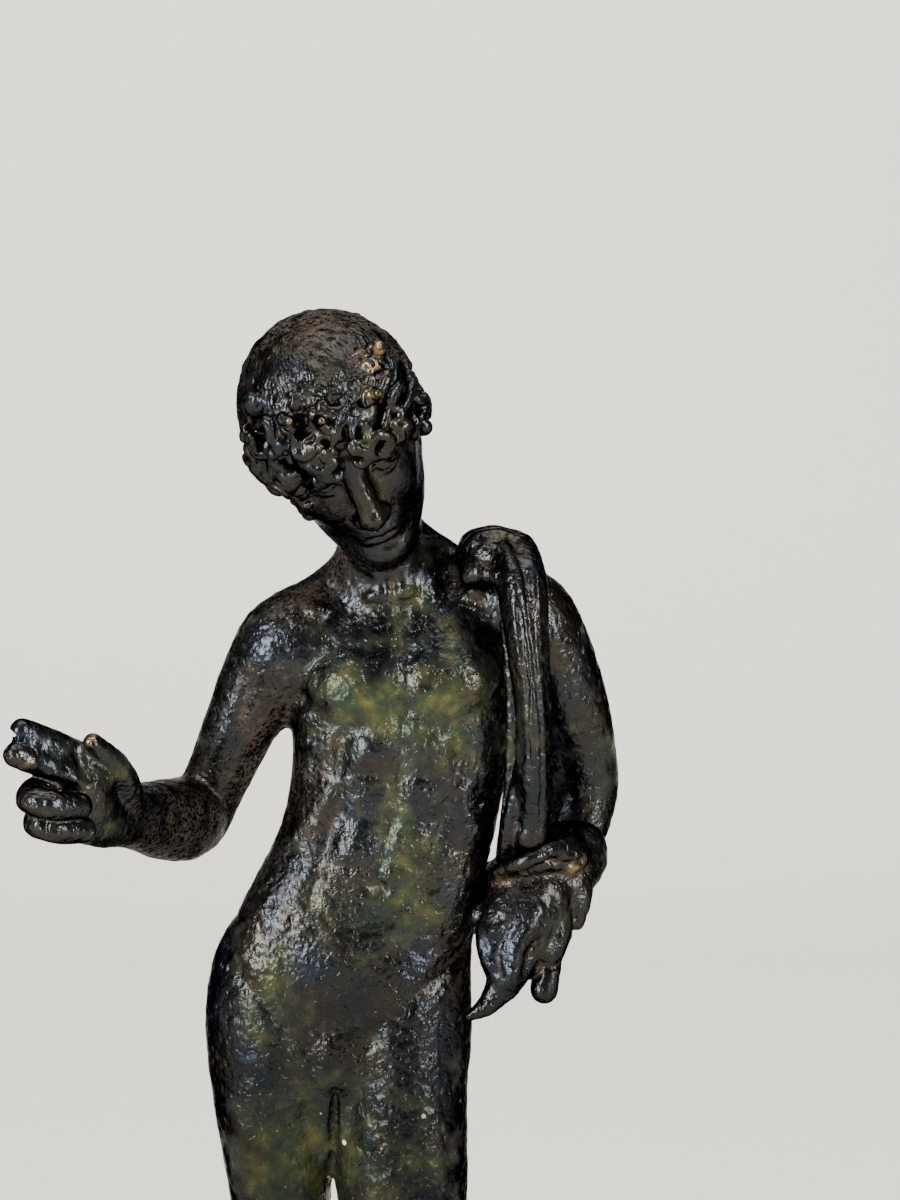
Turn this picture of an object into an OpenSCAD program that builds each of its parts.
// Bronze statuette of a standing youth with bowed head, one hand raised, the other on the hip,
// and a goatskin over the left shoulder, on a round moulded base.
// Millimetres, +Z up. The figure faces -Y, so its right arm is on the -X side.
// The origin is the centre of the underside, under the middle of the base.

/* [Base] */
// Radius of the base at its foot moulding
base_foot_r = 29; // [28:0.5:32]
// Height of the base without the felt
base_h = 17.2; // [16:0.2:19]
// Wall thickness of the hollow base
base_wall = 2.4; // [2:0.2:3]
// Thickness of the felt under the base
felt_t = 0.8; // [0.6:0.1:1]

/* [Joints] */
// Radius of the dowel between neck and torso
neck_dowel_r = 1.6; // [1.2:0.1:1.8]
// Radius of the dowels in the shoulders and hips
limb_dowel_r = 1.2; // [1:0.1:1.4]
// Radius of the dowels in the wrists
wrist_dowel_r = 0.7; // [0.5:0.1:0.8]
// Radius of the studs that hold the feet down
stud_r = 1.0; // [0.8:0.1:1.1]
// Clearance round every dowel and stud
fit_gap = 0.05; // [0.03:0.01:0.1]

/* [Detail] */
// Sides of each lofted section
sides = 24; // [16:4:32]

/* [Hidden] */

base_top = felt_t + base_h;      // the soles stand on this height
seam_gap = 0.02;                 // filled joint between two castings
eps = 1e-9;                      // keeps a rotation axis from vanishing

// Dowels between the castings; each bore is a little wider and longer than its dowel.
neck_dowel_l = 9;
limb_dowel_l = 8;
right_wrist_dowel_l = 5;
left_wrist_dowel_l = 4;
end_gap = 0.2;
bronze = [0.16, 0.13, 0.10];
pin_metal = [0.55, 0.42, 0.24];

// Seams between castings: a point on the joint plane, and its normal, pointing away from the torso.
neck_seam = [[4.5, 1.0, 140.6], [-0.22, -0.30, 0.93]];
right_shoulder_seam = [[-5.0, 1.0, 131.0], [-0.965, 0, 0.26]];
left_shoulder_seam = [[16.4, 1.8, 132.6], [0.965, 0.05, 0.26]];
right_hip_seam = [[-1.0, 0, 88.6], [-0.58, 0, -0.81]];
left_hip_seam = [[-1.0, 0, 88.6], [0.56, 0, -0.83]];
right_wrist_seam = [[-20.3, -14.2, 118.0], [-0.30, -0.88, 0.36]];
left_wrist_seam = [[16.0, 3.4, 107.6], [-0.90, -0.05, -0.42]];

// The dowels of the hips lie inside the castings, off the point that places the seam plane.
right_hip_pin = [[-8.0, 0, 93.62], right_hip_seam[1]];
left_hip_pin = [[6.6, 0, 93.73], left_hip_seam[1]];

// The shoulder seams end at the armpits, so their blocks reach no further.
shoulder_reach = 16;

// The legs are parted from the groin down by a level plane of this x.
leg_split_x = -1.0;
leg_split_low = 60;

// Foot studs: where each one stands, how far it goes into its foot, and how far it hangs in the base
right_stud = [-4.4, 1.6];
left_stud = [12.6, -6.6];
right_stud_rise = 4.6;
left_stud_rise = 2.0;
stud_bottom = base_top - base_wall - 4.0;

// Washer and nut on each stud
washer_r = 2.5;
washer_t = 0.4;
nut_r = 2.3;
nut_h = 1.6;
thread_gap = 0.02;

// Rivets of the skin: middle, direction and length
rivet_r = 0.6;
rivets = [[[15.6, -3.6, 141.6], [0, 0.35, -0.94], 5.6],
          [[19.0, -4.6, 113.0], [0.1, 0.9, -0.8], 5.0]];

// The head is modelled upright about the middle of the skull, then bowed and tilted.
head_centre = [-0.2, -5.2, 155.4];
head_bow = 38;
head_tilt = -22;

// ---- shared helpers ----

function unit(v) = v / norm(v);

// Sections of a swept body: [x, y, z, half width, half depth]. The width lies along the side direction.
function section_tangent(path, i) =
    let (last = len(path) - 1, a = path[max(i - 1, 0)], b = path[min(i + 1, last)])
    unit([b.x - a.x, b.y - a.y, b.z - a.z]);
function section_points(path, i, side, n) =
    let (t = section_tangent(path, i), s = unit(side - t * (side * t)), f = cross(t, s), p = path[i])
    [for (k = [0:n - 1]) let (a = 360 * k / n) [p.x, p.y, p.z] + s * p[3] * cos(a) + f * p[4] * sin(a)];

// A closed skin through the sections of a path, with flat ends.
module sweep_skin(path, side = [1, 0, 0], n = sides) {
    rows = len(path);
    points = [for (i = [0:rows - 1]) each section_points(path, i, side, n)];
    ends = [[path[0].x, path[0].y, path[0].z],
            [path[rows - 1].x, path[rows - 1].y, path[rows - 1].z]];
    walls = [for (i = [0:rows - 2], k = [0:n - 1])
        let (a = i * n + k, b = i * n + (k + 1) % n, c = a + n, d = b + n)
        each [[a, c, b], [b, c, d]]];
    caps = [for (k = [0:n - 1]) each [
        [rows * n, k, (k + 1) % n],
        [rows * n + 1, (rows - 1) * n + (k + 1) % n, (rows - 1) * n + k]]];
    polyhedron(points = concat(points, ends), faces = concat(walls, caps), convexity = 6);
}

// Everything on the outer side of a seam, from a small gap outwards; outer = -1 gives the torso's side.
module beyond(seam, outer = 1, reach = 90) {
    n = unit(seam[1]) * outer;
    translate(seam[0] + n * seam_gap / 2)
        rotate(a = acos(n.z), v = cross([0, 0, 1], n) + [eps, 0, 0])
            translate([-reach / 2, -reach / 2, 0]) cube(reach);
}

// A dowel across a seam, centred on it.
module dowel(seam, r, length) {
    n = unit(seam[1]);
    translate(seam[0])
        rotate(a = acos(n.z), v = cross([0, 0, 1], n))
            cylinder(r = r, h = length, center = true, $fn = 32);
}

// The bore for a dowel.
module dowel_bore(seam, r, length) { dowel(seam, r + fit_gap, length + end_gap); }

// ---- whole shapes, before they are parted at the seams ----

module torso_form() {
    sweep_skin([
        [-1.0, 1.0, 87.6, 3.0, 3.0],
        [-1.0, 0.9, 90.5, 11.6, 6.9],
        [-0.9, 0.8, 95.5, 13.5, 8.4],
        [-0.2, 0.6, 101.0, 13.2, 8.0],
        [1.7, -0.2, 106.5, 12.3, 7.0],
        [3.6, -0.4, 112.0, 11.5, 6.5],
        [5.2, 0.0, 117.5, 11.2, 6.8],
        [5.8, 0.5, 123.0, 11.9, 7.6],
        [6.1, 0.8, 128.5, 12.3, 8.1],
        [6.5, 1.2, 133.0, 12.6, 7.4],
        [6.3, 1.6, 136.8, 11.6, 5.6],
        [5.2, 1.9, 139.5, 7.4, 4.6],
        [4.6, 1.6, 141.5, 4.6, 4.2]]);
}

module right_leg_form() {
    sweep_skin([
        [-7.6, 0.8, 101.0, 6.9, 7.6],
        [-7.8, 0.6, 94.0, 7.0, 8.0],
        [-7.4, 0.1, 86.0, 6.5, 7.3],
        [-6.6, -0.3, 77.0, 5.7, 6.4],
        [-5.9, -0.8, 67.0, 4.8, 5.3],
        [-5.5, -1.3, 59.5, 4.2, 4.7],
        [-5.4, -0.7, 54.0, 3.9, 4.3],
        [-5.4, 0.5, 48.0, 4.2, 4.8],
        [-5.2, 1.2, 41.0, 3.8, 4.4],
        [-4.8, 1.5, 33.0, 2.7, 3.1],
        [-4.5, 1.6, 26.0, 2.4, 2.8],
        [-4.4, 1.6, 20.5, 2.5, 3.4]]);
}

module left_leg_form() {
    sweep_skin([
        [6.4, 0.6, 101.0, 6.4, 7.4],
        [6.6, 0.2, 94.0, 6.6, 7.8],
        [6.7, -1.0, 86.0, 6.2, 7.2],
        [7.0, -2.8, 77.0, 5.5, 6.3],
        [7.6, -5.0, 67.5, 4.7, 5.3],
        [8.0, -6.4, 60.5, 4.1, 4.6],
        [8.3, -5.8, 55.5, 3.8, 4.2],
        [8.8, -3.3, 49.5, 4.1, 4.7],
        [9.5, -0.8, 43.0, 3.7, 4.3],
        [10.4, 2.0, 35.0, 2.7, 3.0],
        [11.1, 4.0, 28.5, 2.4, 2.7],
        [11.5, 4.6, 25.0, 2.4, 2.6]]);
}

// The foot's sections run from heel to toe; the sole is flat.
module right_foot_form() {
    intersection() {
        sweep_skin([
            [-4.2, 5.6, 20.0, 1.6, 1.8],
            [-4.3, 4.4, 20.4, 2.6, 3.2],
            [-4.5, 0.5, 21.0, 3.0, 4.2],
            [-5.0, -4.0, 20.4, 3.3, 3.6],
            [-5.6, -9.0, 19.4, 4.0, 2.7],
            [-6.0, -13.0, 18.9, 4.1, 2.1],
            [-6.2, -16.0, 18.7, 3.2, 1.6],
            [-6.2, -17.0, 18.6, 2.0, 1.1]]);
        translate([-30, -30, base_top]) cube([60, 60, 20]);
    }
}

// The relaxed foot stands on its ball, with the heel raised.
module left_foot_form() {
    intersection() {
        sweep_skin([
            [11.2, 7.4, 24.4, 1.5, 1.6],
            [11.3, 6.2, 24.4, 2.5, 2.9],
            [11.7, 2.4, 23.6, 2.9, 3.8],
            [12.2, -2.0, 21.6, 3.2, 3.3],
            [12.7, -6.4, 19.6, 3.9, 2.5],
            [13.2, -10.2, 18.9, 4.0, 2.0],
            [13.5, -13.2, 18.7, 3.1, 1.5],
            [13.6, -14.2, 18.6, 2.0, 1.0]]);
        translate([-30, -30, base_top]) cube([60, 60, 20]);
    }
}

module right_arm_form() {
    sweep_skin([
        [-2.0, 1.4, 136.0, 3.6, 4.6],
        [-5.2, 1.2, 134.6, 5.0, 5.4],
        [-8.6, 1.6, 130.2, 4.5, 4.9],
        [-11.4, 2.4, 124.8, 3.9, 4.2],
        [-14.0, 3.4, 119.0, 3.6, 3.8],
        [-15.8, 3.2, 115.4, 3.7, 3.9],
        [-17.0, -0.4, 113.9, 4.1, 4.3],
        [-18.2, -5.0, 114.8, 3.9, 4.0],
        [-19.4, -10.0, 116.4, 3.1, 3.3],
        [-20.3, -14.2, 118.0, 2.7, 2.9],
        [-20.8, -16.0, 118.7, 2.6, 2.8]], side = [0.93, 0.1, 0.37]);
}

module left_arm_form() {
    sweep_skin([
        [14.0, 1.8, 138.4, 3.6, 4.2],
        [18.4, 1.8, 138.0, 4.6, 5.0],
        [21.4, 2.6, 133.4, 4.3, 4.8],
        [23.6, 3.8, 127.6, 3.9, 4.2],
        [25.2, 5.4, 121.6, 3.6, 3.8],
        [25.4, 6.4, 117.0, 3.7, 3.9],
        [23.9, 6.0, 112.6, 3.7, 3.9],
        [21.0, 4.8, 109.8, 3.2, 3.4],
        [18.0, 3.8, 108.4, 2.6, 2.8],
        [15.6, 3.4, 107.5, 2.3, 2.5],
        [14.6, 3.4, 107.0, 2.3, 2.4]], side = [0.9, 0.1, 0.4]);
}

// ---- castings ----

module head() {
    color(bronze) difference() {
        union() {
            translate(head_centre) rotate([0, head_tilt, 0]) rotate([head_bow, 0, 0]) {
                sweep_skin([
                    [0, -6.6, -12.4, 1.6, 1.2],
                    [0, -5.6, -11.2, 3.8, 3.2],
                    [0, -3.4, -8.0, 6.0, 5.8],
                    [0, -1.4, -4.0, 7.9, 8.4],
                    [0, -0.3, 0.0, 9.3, 10.0],
                    [0, 0.2, 4.0, 9.6, 10.4],
                    [0, 0.4, 8.0, 8.4, 9.0],
                    [0, 0.4, 11.0, 5.6, 6.2],
                    [0, 0.4, 12.5, 2.4, 2.8]]);
                // nose
                hull() {
                    translate([0, -9.0, 0.5]) sphere(r = 0.7, $fn = 12);
                    translate([0, -10.3, -4.6]) sphere(r = 1.1, $fn = 12);
                }
                // ears
                for (s = [-1, 1]) hull() {
                    translate([s * 9.2, 0.4, 0.6]) sphere(r = 1.3, $fn = 12);
                    translate([s * 8.7, -0.2, -3.0]) sphere(r = 1.0, $fn = 12);
                }
            }
            intersection() {
                sweep_skin([
                    [4.7, 1.6, 139.0, 5.0, 4.4],
                    [4.2, 0.6, 142.5, 4.5, 4.2],
                    [3.0, -0.8, 147.0, 4.4, 4.4],
                    [1.6, -2.4, 151.5, 4.6, 5.0]]);
                beyond(neck_seam);
            }
        }
        dowel_bore(neck_seam, neck_dowel_r, neck_dowel_l);
    }
}

module torso() {
    color(bronze) difference() {
        torso_form();
        beyond(neck_seam);
        beyond(right_shoulder_seam, reach = shoulder_reach);
        beyond(left_shoulder_seam, reach = shoulder_reach);
        beyond(right_hip_seam);
        beyond(left_hip_seam);
        dowel_bore(neck_seam, neck_dowel_r, neck_dowel_l);
        dowel_bore(right_shoulder_seam, limb_dowel_r, limb_dowel_l);
        dowel_bore(left_shoulder_seam, limb_dowel_r, limb_dowel_l);
        dowel_bore(right_hip_pin, limb_dowel_r, limb_dowel_l);
        dowel_bore(left_hip_pin, limb_dowel_r, limb_dowel_l);
        goatskin_rivet_bore();
    }
}

module right_arm() {
    color(bronze) difference() {
        right_arm_form();
        beyond(right_shoulder_seam, -1);
        beyond(right_wrist_seam);
        dowel_bore(right_shoulder_seam, limb_dowel_r, limb_dowel_l);
        dowel_bore(right_wrist_seam, wrist_dowel_r, right_wrist_dowel_l);
    }
}

// One finger: straight pieces with round ends through its joints.
module finger(joints, r) {
    for (i = [0:len(joints) - 2]) hull() {
        translate(joints[i]) sphere(r = r, $fn = 12);
        translate(joints[i + 1]) sphere(r = r, $fn = 12);
    }
}

// The raised hand: the index finger points, the others are curled into the palm.
module right_hand() {
    color(bronze) difference() {
        union() {
            intersection() {
                sweep_skin([
                    [-19.8, -12.6, 117.4, 2.6, 2.8],
                    [-20.8, -16.0, 118.6, 2.6, 3.0],
                    [-21.9, -18.6, 119.9, 2.4, 3.9],
                    [-23.2, -21.4, 121.3, 2.3, 4.4],
                    [-24.2, -23.4, 122.3, 1.9, 4.2]], side = [0.80, -0.52, 0.28], n = 16);
                beyond(right_wrist_seam);
            }
            // pointing index finger with its tip broken away
            finger([[-23.9, -22.0, 124.6], [-26.2, -24.4, 126.4], [-28.6, -25.6, 127.8]], 1.25);
            // middle, ring and little finger, curled
            for (k = [0:2])
                finger([[-24.6 + 0.3 * k, -23.2, 123.4 - 2.2 * k],
                        [-26.6 + 0.3 * k, -24.8, 122.9 - 2.2 * k],
                        [-25.4 + 0.3 * k, -27.0, 122.0 - 2.0 * k],
                        [-22.8 + 0.2 * k, -25.4, 121.6 - 2.0 * k]], 1.2);
            // thumb
            finger([[-20.9, -18.6, 121.6], [-21.4, -21.8, 124.8], [-22.4, -24.0, 126.6]], 1.3);
        }
        dowel_bore(right_wrist_seam, wrist_dowel_r, right_wrist_dowel_l);
    }
}

module left_arm() {
    color(bronze) difference() {
        left_arm_form();
        beyond(left_shoulder_seam, -1);
        beyond(left_wrist_seam);
        dowel_bore(left_shoulder_seam, limb_dowel_r, limb_dowel_l);
        dowel_bore(left_wrist_seam, wrist_dowel_r, left_wrist_dowel_l);
    }
}

// The back of this hand rests on the hip, with the fingers turned to the rear.
module left_hand() {
    color(bronze) difference() {
        union() {
            sweep_skin([
                [16.2, 3.4, 107.7, 2.2, 2.4],
                [14.6, 3.8, 106.8, 2.1, 2.6],
                [13.6, 5.2, 105.4, 1.7, 3.1],
                [13.0, 7.0, 104.0, 1.4, 3.0]], side = [0.85, 0.45, -0.2], n = 16);
            for (k = [0:3])
                finger([[13.1 - 0.3 * k, 7.0, 106.2 - 1.5 * k],
                        [11.6 - 0.3 * k, 9.0, 105.2 - 1.6 * k],
                        [9.4, 10.2, 104.2 - 1.7 * k]], 0.9);
        }
        beyond(left_wrist_seam, -1);
        torso_form();
        dowel_bore(left_wrist_seam, wrist_dowel_r, left_wrist_dowel_l);
    }
}

// The bore in a sole for its foot stud.
module stud_bore(p, rise) {
    translate([p.x, p.y, base_top - 1])
        cylinder(r = stud_r + fit_gap, h = rise + 1 + end_gap, $fn = 32);
}

module right_leg() {
    color(bronze) difference() {
        union() {
            right_leg_form();
            right_foot_form();
        }
        beyond(right_hip_seam, -1);
        translate([leg_split_x, -30, leg_split_low]) cube([30, 60, 60]);
        dowel_bore(right_hip_pin, limb_dowel_r, limb_dowel_l);
        stud_bore(right_stud, right_stud_rise);
    }
}

module left_leg() {
    color(bronze) difference() {
        union() {
            left_leg_form();
            left_foot_form();
        }
        beyond(left_hip_seam, -1);
        translate([leg_split_x - 30 + seam_gap, -30, leg_split_low]) cube([30, 60, 60]);
        dowel_bore(left_hip_pin, limb_dowel_r, limb_dowel_l);
        stud_bore(left_stud, left_stud_rise);
    }
}

// The skin is knotted over the shoulder and falls in long folds in front of the arm and behind it.
module goatskin_fall_form() {
    sweep_skin([
        [17.4, 9.6, 126.0, 1.6, 0.8],
        [16.6, 10.2, 132.0, 2.6, 1.3],
        [15.8, 8.0, 138.4, 3.1, 1.7],
        [15.4, 3.6, 143.4, 3.3, 1.9],
        [15.8, -1.6, 144.8, 3.4, 2.0],
        [16.6, -6.0, 141.8, 3.0, 2.0],
        [17.4, -8.4, 136.0, 2.5, 1.9],
        [18.0, -8.6, 129.0, 2.3, 1.8],
        [18.3, -7.6, 121.0, 2.3, 1.7],
        [18.4, -5.4, 114.6, 2.4, 1.6]], side = [1, 0, 0]);
}

module goatskin_fall() {
    color(bronze) difference() {
        goatskin_fall_form();
        torso_form();
        left_arm_form();
        goatskin_rivet_bore();
    }
}

// The skin's end is wound round the forearm; the goat's head and hooves hang from it.
module goatskin_wrap() {
    color(bronze) difference() {
        union() {
            sweep_skin([
                [25.6, 4.6, 112.4, 3.2, 4.6],
                [24.6, 3.4, 110.4, 4.6, 6.4],
                [21.6, 2.0, 109.0, 4.9, 6.8],
                [18.2, 1.2, 107.6, 4.2, 6.2],
                [16.4, 0.8, 106.8, 2.8, 4.8]], side = [-0.4, 0, 0.9]);
            // flap at the outside of the wrap
            sweep_skin([
                [25.0, -0.6, 111.0, 1.6, 2.6],
                [25.6, -0.8, 107.6, 1.5, 2.4],
                [24.6, -1.4, 104.2, 0.7, 1.0]], n = 16);
            // goat's head with its muzzle turned towards the thigh
            sweep_skin([
                [19.6, -4.0, 108.4, 3.0, 1.8],
                [18.0, -5.6, 105.4, 4.2, 2.6],
                [16.8, -6.4, 102.4, 3.8, 2.6],
                [16.2, -6.8, 99.4, 2.3, 1.9],
                [14.2, -7.4, 97.4, 1.3, 1.2],
                [12.4, -7.8, 96.6, 0.7, 0.7]], n = 16);
            // hanging hoof
            sweep_skin([
                [21.6, -4.4, 106.4, 1.0, 1.0],
                [20.9, -5.2, 102.0, 1.0, 1.0],
                [20.4, -5.5, 99.6, 1.3, 1.3],
                [20.2, -5.6, 98.2, 1.2, 1.2],
                [20.1, -5.6, 97.2, 0.6, 0.6]], n = 12);
        }
        torso_form();
        left_arm_form();
        left_hand_space();
        goatskin_fall_form();
        goatskin_rivet_bore();
    }
}

// Room that the wrap leaves round the wrist and hand.
module left_hand_space() {
    translate([8, 2.2, 98]) cube([8.2, 12, 12]);
}

// ---- joints ----

module limb_dowel(seam) { color(pin_metal) dowel(seam, limb_dowel_r, limb_dowel_l); }
module wrist_dowel(seam, length) { color(pin_metal) dowel(seam, wrist_dowel_r, length); }

module neck_dowel() { color(pin_metal) dowel(neck_seam, neck_dowel_r, neck_dowel_l); }
module right_shoulder_dowel() { limb_dowel(right_shoulder_seam); }
module left_shoulder_dowel() { limb_dowel(left_shoulder_seam); }
module right_wrist_dowel() { wrist_dowel(right_wrist_seam, right_wrist_dowel_l); }
module left_wrist_dowel() { wrist_dowel(left_wrist_seam, left_wrist_dowel_l); }
module right_hip_dowel() { limb_dowel(right_hip_pin); }
module left_hip_dowel() { limb_dowel(left_hip_pin); }

// Two rivets pin the fall of the skin: one into the shoulder, one into the wrap below.
module rivet_set(r, extra) {
    for (p = rivets) {
        n = unit(p[1]);
        translate(p[0] - n * extra / 2)
            rotate(a = acos(n.z), v = cross([0, 0, 1], n))
                cylinder(r = r, h = p[2] + extra, center = true, $fn = 24);
    }
}
module goatskin_rivet_bore() { rivet_set(rivet_r + fit_gap, end_gap); }
module goatskin_rivets() { color(pin_metal) rivet_set(rivet_r, 0); }

// ---- base ----

function arc(c, r, a0, a1, n) =
    [for (i = [0:n]) let (a = a0 + (a1 - a0) * i / n) c + r * [cos(a), sin(a)]];

// Outline of the turned base, from the foot up to the top edge, as [radius, height above the felt].
base_scale = base_h / 17.2;
base_outline = concat(
    [[0, 0], [base_foot_r, 0], [base_foot_r, 2.2 * base_scale]],
    arc([base_foot_r - 1.2, 3.4 * base_scale], 1.2, -70, 90, 8),
    [[base_foot_r - 2.2, 4.6 * base_scale]],
    arc([base_foot_r + 0.3, 8.6 * base_scale], 4.0, -115, -245, 10),
    [[base_foot_r - 2.6, 12.8 * base_scale]],
    arc([base_foot_r - 2.8, 14.2 * base_scale], 1.3, -80, 80, 8),
    [[base_foot_r - 3.6, 15.8 * base_scale], [base_foot_r - 3.6, base_h - 0.4],
     [base_foot_r - 4.0, base_h], [0, base_h]]);

module base_drum() {
    color(bronze) difference() {
        translate([0, 0, felt_t]) rotate_extrude($fn = 96) polygon(base_outline);
        translate([0, 0, felt_t - 1])
            cylinder(r = base_foot_r - 4 - base_wall, h = base_h + 1 - base_wall, $fn = 96);
        for (p = [right_stud, left_stud])
            translate([p.x, p.y, base_top - base_wall - 1])
                cylinder(r = stud_r + fit_gap, h = base_wall + 2, $fn = 32);
    }
}

module foot_stud(p, top) {
    color(pin_metal) translate([p.x, p.y, stud_bottom])
        cylinder(r = stud_r, h = top - stud_bottom, $fn = 32);
}
module right_foot_stud() { foot_stud(right_stud, base_top + right_stud_rise); }
module left_foot_stud() { foot_stud(left_stud, base_top + left_stud_rise); }

module stud_washers() {
    color(pin_metal) for (p = [right_stud, left_stud])
        translate([p.x, p.y, base_top - base_wall - washer_t]) difference() {
            cylinder(r = washer_r, h = washer_t, $fn = 32);
            translate([0, 0, -1]) cylinder(r = stud_r + fit_gap, h = 3, $fn = 32);
        }
}
module stud_nuts() {
    color(pin_metal) for (p = [right_stud, left_stud])
        translate([p.x, p.y, base_top - base_wall - washer_t - nut_h]) difference() {
            cylinder(r = nut_r, h = nut_h, $fn = 6);
            translate([0, 0, -1]) cylinder(r = stud_r + thread_gap, h = 4, $fn = 32);
        }
}

module felt_pad() {
    color("darkgreen") cylinder(r = base_foot_r - 0.4, h = felt_t, $fn = 96);
}

head();
torso();
right_arm();
right_hand();
left_arm();
left_hand();
right_leg();
left_leg();
goatskin_fall();
goatskin_wrap();
neck_dowel();
right_shoulder_dowel();
left_shoulder_dowel();
right_wrist_dowel();
left_wrist_dowel();
right_hip_dowel();
left_hip_dowel();
goatskin_rivets();
base_drum();
right_foot_stud();
left_foot_stud();
stud_washers();
stud_nuts();
felt_pad();
